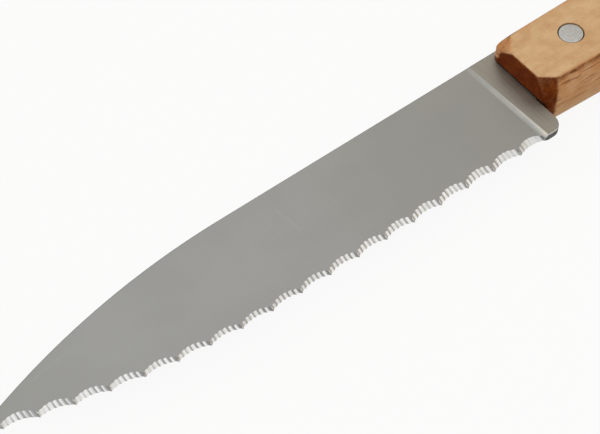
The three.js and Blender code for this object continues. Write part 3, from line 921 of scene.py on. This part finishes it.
    def facet_distance(self, points, corner_y, side_y, leg, follows, crown):
        """The distance of points beyond the two facets of a front corner, which mirror each other in z = 0,
        and the facets' direction. The crown is a parabola down the facet."""
        handle = self.handle
        normal = np.array([-1 / leg[0], side_y / leg[1], 1 / leg[2]])
        normal /= np.linalg.norm(normal)
        on_plane = np.array([leg[0], corner_y, handle.thickness / 2])
        height = np.abs(points[..., 2])
        bulge = follows * (handle.side_bulge - self.fall_in(height))
        mirrored = np.stack([points[..., 0], points[..., 1] - side_y * bulge, height], axis=-1)
        part = np.clip((handle.thickness / 2 - height) / handle.crown_depth, 0, 1)
        return (mirrored - on_plane) @ normal - crown * 4 * part * (1 - part), normal

    def cut_facet(self, points, facet):
        """Moves points beyond a facet back onto it. The distance moved is half of s plus the root of s
        squared plus the softness squared, for a distance s beyond the plane, which rounds the facet's rim.
        Towards z = 0 the points keep more of their own height, so that the two facets meet on the middle
        plane."""
        beyond, normal = self.facet_distance(points, *facet)
        moved = (beyond + np.sqrt(beyond ** 2 + self.handle.facet_round ** 2)) / 2
        level = points[..., 2] / (self.handle.thickness / 2)
        whole = np.ones(level.shape)
        way = normal * np.stack([whole, whole, level], axis=-1)
        along = normal[0] ** 2 + normal[1] ** 2 + np.abs(level) * normal[2] ** 2
        return points - way * (moved / along)[..., None]

    def faceted_points(self):
        """The handle with its round corner and the four facets on its front corners."""
        points = self.round_corner(self.body_points())
        for facet in self.facets():
            points = self.cut_facet(points, facet)
        return points

    def tones(self, points):
        """Shares of darker wood at points. The end grain's tone is 1 on the front face, fades round its
        corner and on the spine facets, falls off down the edge facets, shows a little wear on these facets'
        upper ridge, and is high on the butt's end. On the front face and the edge facets it is partly the
        real darker end grain and partly painted shade, since these faces turn away from the light. The long
        sides' tone is highest under the upper edges, falls off towards the lower ones, and is high on the
        spine facets. Its fall towards the lower edges is painted light, which makes the sides paler towards
        the floor as bounce light would. The painted seam shadow's share is 1 along the slot's mouth."""
        handle = self.handle
        x, y, z = points.T
        on_corner = y > self.spine - handle.corner_round
        front = fade(x / np.where(on_corner, CORNER_REACH, 1), *END_FADE)
        spine_beyond, edge_beyond = (self.facet_distance(points, *facet)[0] for facet in self.facets())
        spine_facet = fade(-spine_beyond, *SPINE_FACET_FADE)
        # The end grain's tone on the edge facets: lower towards their bottom and a little lower at their top
        toned_down = ramp(z, (-3 * MM, 0.5), (-1 * MM, 0.94), (3.4 * MM, 0.94), (4.6 * MM, 0.84))
        edge_facet = fade(-edge_beyond, *END_FADE) * toned_down
        ridge = np.exp(-(edge_beyond ** 2 + x ** 2) / RIDGE_RADIUS ** 2) * ramp(z, (MM, 0), (4 * MM, 1))
        end = np.maximum(front * (1 - spine_facet), edge_facet) * (1 - RIDGE_WEAR * ridge)
        butt = ramp(handle.length - x, (0.2 * MM, 0.8), (1.1 * MM, 0))

        low, high = (np.interp(x, *curve.T) for curve in (self.low_curve, self.high_curve))
        from_side = np.minimum(y - low, high - y)
        side = np.clip(SIDE_GAIN * (1 - from_side / self.side_depth), 0, 1)
        # Painted light: the side's tone is set by height, heaviest under the upper edge and falling to
        # nothing near the lower one, so the sides grow paler towards the floor as bounce light would make
        # them
        side *= ramp(z, (-3 * MM, 0), (-1 * MM, 0.4), (2.5 * MM, 0.7), (4 * MM, 0.9), (4.7 * MM, 1.3))
        return {
            "end_grain_and_shade": np.maximum(end, butt),
            "side_tone_and_bounce": np.maximum(side, FACET_LEVEL * spine_facet),
            # Painted shadow of the gap at the slot's mouth, round the blade
            "seam_shadow": front * fade(np.abs(z) - self.slot_half, *SEAM_FADE)}


def slot_tool(name, x, y, half_height):
    """A closed block for cutting: four-cornered loops, given by their x and y at each station, with the ends
    drawn together in the middle."""
    level = np.array([1, 1, -1, -1]) * half_height
    points = np.stack(np.broadcast_arrays(x, y, level), axis=-1)
    middles = np.repeat(points[[0, -1]].mean(axis=1, keepdims=True), 4, axis=1)
    closed = np.concatenate([middles[:1], points, middles[1:]])
    return mesh_piece(name, [grid_patch(closed, closed=True)])


def tang_slot(blade, handle):
    """The sawn slot: the tang's outline with clearance all round, open at the handle's front."""
    x, half = tang_loop(blade, handle.clearance)
    x[0] = -TOOL_ROOM
    sides = np.array([-1, 1, 1, -1])
    return slot_tool(
        "tang_slot", x[:, None], TANG_AXIS + half[:, None] * sides, blade.thickness / 2 + handle.clearance)


def shoulder_slot(blade, handle):
    """The slot's wide mouth round the blade's upper shoulder, open at the front and at the spine."""
    x = np.array([-TOOL_ROOM, blade.shoulder_sink + handle.clearance])
    y = np.array([TANG_AXIS, blade.width + TOOL_ROOM])[[0, 1, 1, 0]]
    return slot_tool("shoulder_slot", x[:, None], y, blade.thickness / 2 + handle.clearance)


class KNIFE_OT_handle(bpy.types.Operator):
    """Build the beech handle with its rounded edges, front facets, slot and rivet holes"""

    bl_idname = "knife.handle"
    bl_label = "Handle"

    def execute(self, context):
        scene = context.scene
        handle = scene.knife_handle
        blade = scene.knife_blade
        form = HandleForm(handle, blade)
        piece = mesh_piece("knife_handle", [grid_patch(form.faceted_points(), closed=True)])
        slots = [tang_slot(blade, handle), shoulder_slot(blade, handle)]
        cut_away(piece, slots + rivet_holes(scene.knife_rivet))
        paint(piece, form.tones(knife_points(piece)))
        shade(piece, [oiled_beech(handle)])
        place(piece, "handle")
        return {"FINISHED"}


# Rivets


def rivet_points(rivet, x):
    """A pressed rivet: a profile of shallow domes, rounded rims, swollen ends and a straight shank, carried
    round its axis. Each dome is a parabola, and each rim a quarter circle."""
    radius, half = rivet.diameter / 2 + rivet.swell, rivet.length / 2
    inner = np.linspace(0, 1, DOME_RINGS) * (radius - rivet.rim)
    dome = half - rivet.dome * (inner / (radius - rivet.rim)) ** 2
    turn = np.linspace(0, np.pi / 2, RIVET_RIM_RINGS)[1:]
    rim_radius = radius - rivet.rim * (1 - np.sin(turn))
    rim_height = half - rivet.dome - rivet.rim * (1 - np.cos(turn))
    upper_radius = np.concatenate([inner, rim_radius, [rivet.diameter / 2]])
    upper_height = np.concatenate([dome, rim_height, [half - rivet.swell_length]])
    radii = np.concatenate([upper_radius, upper_radius[::-1]])
    return turned(x, radii, np.concatenate([upper_height, -upper_height[::-1]]))


class KNIFE_OT_rivets(bpy.types.Operator):
    """Build the two solid rivets with their sanded ends"""

    bl_idname = "knife.rivets"
    bl_label = "Rivets"

    def execute(self, context):
        rivet = context.scene.knife_rivet
        finish = sanded_aluminium(rivet)
        for node, x in zip(RIVET_NODES, rivet_places()):
            piece = mesh_piece("sanded_" + node, [grid_patch(rivet_points(rivet, x), closed=True)])
            below = rivet.length / 2 - np.abs(knife_points(piece)[:, 2])
            # Painted shadow down the rivet's side below its rim, where the gap round it lies
            starts, full = (rivet.dome + rivet.rim * part for part in SHADOW_RIM)
            paint(piece, {"seam_shadow": ramp(below, (starts, 0), (full, 1))})
            shade(piece, [finish])
            place(piece, node)
        return {"FINISHED"}


# Finishes


def shaded(base, level):
    """A colour made darker or lighter."""
    return tuple(channel * level for channel in base)


class Nodes:
    """A node tree, with short calls that add a node and join it up."""

    def __init__(self, tree):
        self.tree = tree

    def add(self, kind, inputs=None, **settings):
        """A new node with its settings, and its inputs set to numbers or joined to other nodes' outputs."""
        made = self.tree.nodes.new(kind)
        for name, value in settings.items():
            setattr(made, name, value)
        for name, value in (inputs or {}).items():
            self.join(made.inputs[name], value)
        return made

    def join(self, socket, value):
        """Sets a socket to a value, or joins it to an output."""
        if isinstance(value, bpy.types.NodeSocket):
            self.tree.links.new(value, socket)
        else:
            socket.default_value = value

    def ranged(self, value, low, high, to_low=0.0, to_high=1.0):
        """A value carried smoothly from one range to another."""
        made = self.add("ShaderNodeMapRange", {
            "Value": value, "From Min": low, "From Max": high, "To Min": to_low, "To Max": to_high},
            interpolation_type="SMOOTHSTEP")
        return made.outputs["Result"]

    def sum(self, first, second, operation="ADD"):
        """Two values added up, or put together by another operation."""
        return self.add("ShaderNodeMath", {0: first, 1: second}, operation=operation).outputs["Value"]

    def product(self, first, second):
        """Two values multiplied."""
        return self.sum(first, second, "MULTIPLY")

    def larger(self, first, second):
        """The larger one of two values."""
        return self.sum(first, second, "MAXIMUM")

    def mix(self, factor, first, second):
        """A blend of two colours."""
        made = self.add("ShaderNodeMix", {"Factor": factor}, data_type="RGBA")
        for socket, value in ((made.inputs[6], first), (made.inputs[7], second)):
            self.join(socket, value if isinstance(value, bpy.types.NodeSocket) else (*value, 1.0))
        return made.outputs[2]

    def seen_directly(self):
        """1 for what the camera sees, also in a glossy or clear surface, and 0 for light on its way."""
        path = self.add("ShaderNodeLightPath").outputs
        bent = self.larger(path["Is Glossy Ray"], path["Is Transmission Ray"])
        return self.larger(path["Is Camera Ray"], bent)


class Finish(Nodes):
    """A material's nodes round its shader, with patterns in the object's coordinates."""

    def __init__(self, name):
        self.material = bpy.data.materials.new(name)
        self.material.use_nodes = True
        super().__init__(self.material.node_tree)
        self.shader = self.tree.nodes["Principled BSDF"]

    def stretched(self, per_mm):
        """The object's coordinates with so many units to the millimetre along X, Y and Z."""
        made = self.add("ShaderNodeMapping", {
            "Vector": self.add("ShaderNodeTexCoord").outputs["Object"],
            "Scale": [units / MM for units in per_mm]})
        return made.outputs["Vector"]

    def noise(self, per_mm, detail=3.0, rough=0.5, distortion=0.0):
        """A noise pattern with so many waves to the millimetre along X, Y and Z."""
        pattern = self.add("ShaderNodeTexNoise", {
            "Vector": self.stretched(per_mm), "Scale": 1.0, "Detail": detail, "Roughness": rough,
            "Distortion": distortion})
        return pattern.outputs["Fac"]

    def spread(self, pattern, low, high):
        """Most of a noise pattern's values, carried smoothly to another range."""
        return self.ranged(pattern, *NOISE_RANGE, low, high)

    def hairlines(self, per_mm, width):
        """Sparse straight hairlines: the borders between the cells of a cell pattern with so many cells to
        the millimetre, kept only where a noise pattern is high."""
        cells = self.add("ShaderNodeTexVoronoi", {
            "Vector": self.stretched([per_mm] * 3), "Scale": 1.0}, feature="DISTANCE_TO_EDGE")
        line = self.ranged(cells.outputs["Distance"], 0.0, width, 1.0, 0.0)
        kept = self.ranged(self.noise((0.09, 0.12, 0.12), detail=1.0), 0.58, 0.66, 0.0, 0.5)
        return self.product(line, kept)

    def painted(self, name):
        """The numbers that a piece keeps at its vertices."""
        return self.add("ShaderNodeAttribute", attribute_name=name).outputs["Fac"]

    def bump(self, height, depth):
        """A surface normal from a height pattern of a depth in metres."""
        made = self.add("ShaderNodeBump", {"Height": height, "Distance": depth, "Strength": 1.0})
        self.join(self.shader.inputs["Normal"], made.outputs["Normal"])

    def set(self, **sockets):
        """Sets the shader's own sockets, with underscores for the spaces in their names."""
        for name, value in sockets.items():
            self.join(self.shader.inputs[name.replace("_", " ")], value)


def satin_steel(blade):
    """Ground and satin-finished steel: fine grind lines from spine to edge, soft clouds, a few hairline
    scratches and faint smudges in the gloss. By their attributes, the steel is darker and warmer at the tip
    and the heel as painted shade, and the hollow of the plunge is brighter as a painted highlight. The
    unground sheet is darker, duller and more lined, with a brown tint that paints the handle's reflection in
    it."""
    finish = Finish("satin_steel")
    lines = finish.noise((9.0, 0.12, 0.12), detail=4.0, rough=0.6)
    clouds = finish.noise((0.05, 0.09, 0.09), detail=2.0)
    smudges = finish.noise((0.3, 0.22, 0.22), detail=5.0, rough=0.62, distortion=0.6)
    waves = finish.noise((0.2, 0.4, 0.4))
    sheet = finish.painted("unground")

    tone = finish.sum(finish.spread(clouds, 0.0, 0.65), finish.spread(lines, 0.0, 0.35))
    # Painted shade: darker, warmer steel towards the tip and the heel
    clean = finish.mix(finish.painted("tip_heel_shade_and_warmth"), blade.steel, blade.shaded_warm_steel)
    steel = finish.mix(tone, shaded(blade.steel, 0.9), clean)
    steel = finish.mix(finish.hairlines(0.045, 0.0035), steel, shaded(blade.steel, 1.08))
    # Painted highlight in the plunge's hollow
    hollow = finish.product(finish.painted("plunge"), finish.ranged(waves, 0.35, 0.6, 0.4, 1.0))
    steel = finish.mix(hollow, steel, blade.plunge_highlight_steel)
    # Painted reflection: the unground sheet's brown tint stands for the handle reflected in it
    toned_down = shaded(blade.sheet_steel_with_reflection, 0.88)
    rolled = finish.mix(finish.ranged(lines, 0.36, 0.6), toned_down, blade.sheet_steel_with_reflection)
    finish.set(Metallic=1.0, Base_Color=finish.mix(sheet, steel, rolled))

    rough = finish.sum(finish.ranged(smudges, 0.35, 0.7, 0.31, 0.36), finish.spread(lines, 0.0, 0.04))
    finish.set(Roughness=finish.sum(rough, finish.product(sheet, 0.12)))
    finish.bump(lines, 0.001 * MM)
    return finish.material


def edge_steel(blade):
    """The serrated bevel's steel: bright from the grinding wheel, with fine lines down each flute. By the
    polish attribute it is duller at the heel."""
    finish = Finish("edge_steel")
    lines = finish.noise((14.0, 0.5, 0.5), rough=0.6)
    clean = finish.product(finish.ranged(lines, 0.3, 0.6, 0.4, 1.0), finish.painted("polish"))
    finish.set(Metallic=1.0, Base_Color=finish.mix(clean, shaded(blade.edge_steel, 0.72), blade.edge_steel))
    finish.set(Roughness=finish.spread(lines, 0.28, 0.2))
    finish.bump(lines, 0.002 * MM)
    return finish.material


def blanked_shaded_steel(blade):
    """The sheet's cut edges: dull, with the marks of the blanking die across the sheet, and far darker than
    steel's own colour, which paints the shade and dark reflection on the heel's cut edge.
    """
    finish = Finish("blanked_shaded_steel")
    marks = finish.noise((4.0, 4.0, 0.8), detail=4.0, rough=0.65)
    dull = shaded(blade.blanked_shaded_steel, 0.5)
    steel = finish.mix(finish.spread(marks, 0.0, 1.0), dull, blade.blanked_shaded_steel)
    finish.set(Metallic=1.0, Base_Color=steel)
    finish.set(Roughness=finish.spread(marks, 0.5, 0.36))
    finish.bump(marks, 0.01 * MM)
    return finish.material


def oiled_beech(handle):
    """Oiled beech: soft growth bands and mottling, fine fibres and short pores along the handle. The long
    sides' attribute brings in redder wood with dark open grain, and by fading out towards the lower edges it
    paints the sides' bounce light. The end grain's attribute brings in the patchy end grain, darkened further
    as painted shade, and the seam's attribute brings in a painted shadow in the seam."""
    finish = Finish("oiled_beech")
    side = finish.painted("side_tone_and_bounce")
    bands = finish.noise((0.02, 0.2, 0.26), distortion=0.5)
    mottle = finish.noise((0.4, 0.5, 0.5), detail=5.0, rough=0.55, distortion=0.3)
    fibres = finish.noise((0.16, 3.4, 3.4), detail=4.0, rough=0.6)
    pores = finish.noise((0.8, 3.2, 4.0), detail=2.0)
    streaks = finish.noise((0.2, 1.9, 2.4), rough=0.6, distortion=0.2)
    patches = finish.noise((0.6, 0.6, 0.5), detail=5.0, rough=0.7)
    speckle = finish.noise((1.5, 2.6, 2.6), detail=4.0, rough=0.7)

    growth = finish.sum(finish.spread(bands, 0.0, 0.7), finish.ranged(mottle, 0.36, 0.66, 0.05, 0.55))
    wood = finish.mix(growth, handle.pale_wood, handle.warm_wood)
    # Redder side wood, faded out towards the lower edges as painted bounce light
    wood = finish.mix(finish.product(side, finish.spread(mottle, 0.55, 1.1)), wood, handle.side_wood)
    wood = finish.mix(finish.ranged(fibres, 0.5, 0.8, 0.0, 0.14), wood, handle.grain)

    side_grain = finish.product(finish.ranged(streaks, 0.52, 0.64, 0.0, 0.85), side)
    under_edge = finish.product(
        finish.ranged(side, 0.9, 1.3, 0.0, 0.75), finish.ranged(mottle, 0.25, 0.55, 0.3, 1.0))
    fine_pores = finish.ranged(pores, 0.66, 0.76, 0.0, 0.5)
    open_grain = finish.larger(fine_pores, finish.larger(side_grain, under_edge))
    wood = finish.mix(open_grain, wood, handle.grain)

    # The end grain's colours, which also paint the shade on the front face and the edge facets
    end = finish.mix(finish.ranged(patches, 0.42, 0.64), handle.shaded_end_wood, handle.shaded_end_patches)
    dark = finish.product(finish.painted("end_grain_and_shade"), finish.spread(speckle, 0.85, 1.1))
    wood = finish.mix(finish.ranged(dark, 0.0, 1.0), wood, end)
    # Painted shadow in the seam at the slot's mouth
    finish.set(Base_Color=finish.mix(finish.painted("seam_shadow"), wood, SEAM_SHADOW))
    finish.set(Roughness=finish.spread(fibres, 0.5, 0.64), Specular_IOR_Level=0.06)
    finish.bump(finish.sum(finish.product(fibres, 0.5), open_grain, "SUBTRACT"), 0.03 * MM)
    return finish.material


def sanded_aluminium(rivet):
    """Sanded aluminium: fine scratches one way across the ends, with small pits, and by its attribute a
    painted shadow down its side, in the gap round it."""
    finish = Finish("sanded_aluminium")
    scratches = finish.noise((0.7, 9.0, 9.0), detail=4.0, rough=0.65)
    pits = finish.noise((2.2, 2.2, 2.2), detail=4.0, rough=0.6)
    tone = finish.sum(finish.spread(scratches, 0.0, 0.55), finish.ranged(pits, 0.3, 0.6, 0.0, 0.5))
    metal = finish.mix(tone, shaded(rivet.aluminium, 0.72), rivet.aluminium)
    # Painted shadow in the gap round the rivet
    finish.set(Metallic=1.0, Base_Color=finish.mix(finish.painted("seam_shadow"), metal, SEAM_SHADOW))
    finish.set(Roughness=finish.spread(scratches, 0.36, 0.5))
    finish.bump(finish.sum(scratches, pits), 0.006 * MM)
    return finish.material


# Stage


def pale_floor(stage):
    """A pale floor that the camera and glossy surfaces see mostly as even white, with a share of its own
    shaded colour left in, so that the knife's soft shadow stays on it."""
    finish = Finish("pale_floor")
    finish.set(Base_Color=(*stage.floor, 1.0), Roughness=0.8, Specular_IOR_Level=0.1)
    even = finish.add("ShaderNodeEmission", {"Color": (*WHITE, 1.0), "Strength": 1.0})
    blend = finish.add("ShaderNodeMixShader", {
        0: finish.product(finish.seen_directly(), stage.evenness),
        1: finish.shader.outputs[0],
        2: even.outputs[0]})
    finish.join(finish.tree.nodes["Material Output"].inputs["Surface"], blend.outputs[0])
    return finish.material


def light_tent(stage):
    """A soft light tent that is bright overhead and behind the knife, dim on the camera's side and a little
    warmer past the handle. Near the floor the camera and glossy surfaces see it as bright as the floor."""
    tent = bpy.data.worlds.new("light_tent")
    tent.use_nodes = True
    nodes = Nodes(tent.node_tree)
    background = tent.node_tree.nodes["Background"].inputs
    direction = nodes.add("ShaderNodeTexCoord").outputs["Generated"]
    toward = nodes.add("ShaderNodeVectorMath", {0: direction, 1: TENT_BRIGHT_WAY}, operation="DOT_PRODUCT")
    parts = nodes.add("ShaderNodeSeparateXYZ", {"Vector": direction}).outputs
    side, height = parts["X"], parts["Z"]
    light = nodes.ranged(toward.outputs["Value"], -0.5, 0.4, stage.dim, stage.bright)
    light = nodes.product(light, nodes.ranged(side, 0.1, 0.32, 0.8, 1.0))
    low = nodes.product(nodes.ranged(height, 0.05, 0.3, 1.0, 0.0), nodes.seen_directly())
    lacking = nodes.product(nodes.sum(1.0, light, "SUBTRACT"), low)
    nodes.join(background["Strength"], nodes.sum(light, lacking))
    nodes.join(background["Color"], nodes.mix(nodes.ranged(side, 0.3, 0.6), WHITE, stage.warm))
    bpy.context.scene.world = tent


def softbox(name, target, direction, along, distance, size, radiance, tint):
    """An oblong area light of a radiance, which shines on a target from a direction and is long along
    another."""
    lamp = bpy.data.lights.new(name, "AREA")
    lamp.shape = "RECTANGLE"
    lamp.size, lamp.size_y = size
    lamp.energy = radiance * math.pi * size[0] * size[1]
    lamp.color = tint
    box = bpy.data.objects.new(name, lamp)
    way = Vector(direction).normalized()
    across = way.cross(Vector(along)).normalized()
    box.location = Vector(target) + way * distance
    box.rotation_mode = "QUATERNION"
    box.rotation_quaternion = Matrix((across.cross(way), across, way)).transposed().to_quaternion()
    bpy.context.scene.collection.objects.link(box)


def set_camera(stage):
    """A camera that looks at the target from an azimuth and an elevation."""
    lens = bpy.data.cameras.new("camera")
    lens.lens = stage.lens
    lens.sensor_width = SENSOR_WIDTH
    lens.clip_start, lens.clip_end = CLIP_START, CLIP_END
    camera = bpy.data.objects.new("camera", lens)
    back = Vector((
        math.sin(stage.azimuth) * math.cos(stage.elevation),
        -math.cos(stage.azimuth) * math.cos(stage.elevation),
        math.sin(stage.elevation)))
    camera.location = Vector(stage.target) + back * stage.distance
    camera.rotation_mode = "QUATERNION"
    camera.rotation_quaternion = back.to_track_quat("Z", "Y")
    bpy.context.scene.collection.objects.link(camera)
    bpy.context.scene.camera = camera


class KNIFE_OT_stage(bpy.types.Operator):
    """Lay the pale floor, hang the lights and set up the camera"""

    bl_idname = "knife.stage"
    bl_label = "Stage"

    def execute(self, context):
        stage = context.scene.knife_stage
        reach = np.array([-FLOOR_REACH, 0, FLOOR_REACH])
        x, y = np.meshgrid(reach, reach, indexing="ij")
        floor = mesh_piece("floor", [grid_patch(np.stack([x, y, np.zeros(x.shape)], axis=-1) - ORIGIN)])
        shade(floor, [pale_floor(stage)])
        light_tent(stage)
        softbox(
            "key_softbox", stage.target, direction=(0.36, -0.46, 0.81), along=(0.93, 0.18, -0.32),
            distance=0.62, size=(0.75, 0.42), radiance=0.6, tint=WHITE)
        softbox(
            "rim_softbox", stage.target, direction=(-0.5, 0.5, 0.71), along=(1.0, 0.0, 0.0),
            distance=1.4, size=(1.1, 1.2), radiance=0.78, tint=(1.0, 0.95, 0.86))
        set_camera(stage)
        context.scene.view_settings.view_transform = "Standard"
        return {"FINISHED"}


class KNIFE_PT_parts(bpy.types.Panel):
    """Lists the knife's pieces and their sizes."""

    bl_idname = "KNIFE_PT_parts"
    bl_label = "Serrated paring knife"
    bl_space_type = "VIEW_3D"
    bl_region_type = "UI"
    bl_category = "Knife"

    def draw(self, context):
        for operator, settings in PARTS.items():
            box = self.layout.box()
            box.operator(operator.bl_idname)
            group = getattr(context.scene, settings)
            for name in group.bl_rna.properties.keys():
                if name not in ("rna_type", "name"):
                    box.prop(group, name)


PARTS = {
    KNIFE_OT_blade: "knife_blade",
    KNIFE_OT_handle: "knife_handle",
    KNIFE_OT_rivets: "knife_rivet",
    KNIFE_OT_stage: "knife_stage",
}
SETTINGS = {
    "knife_blade": BladeSettings,
    "knife_handle": HandleSettings,
    "knife_rivet": RivetSettings,
    "knife_stage": StageSettings,
}


def register():
    """Registers the settings, the operators and the panel."""
    for name, group in SETTINGS.items():
        bpy.utils.register_class(group)
        setattr(bpy.types.Scene, name, bpy.props.PointerProperty(type=group))
    for operator in PARTS:
        bpy.utils.register_class(operator)
    bpy.utils.register_class(KNIFE_PT_parts)


def unregister():
    """Takes back what register did."""
    bpy.utils.unregister_class(KNIFE_PT_parts)
    for operator in PARTS:
        bpy.utils.unregister_class(operator)
    for name, group in SETTINGS.items():
        delattr(bpy.types.Scene, name)
        bpy.utils.unregister_class(group)


def main():
    """Builds the knife and its stage."""
    register()
    bpy.ops.knife.blade()
    bpy.ops.knife.handle()
    bpy.ops.knife.rivets()
    bpy.ops.knife.stage()


if __name__ == "__main__":
    main()
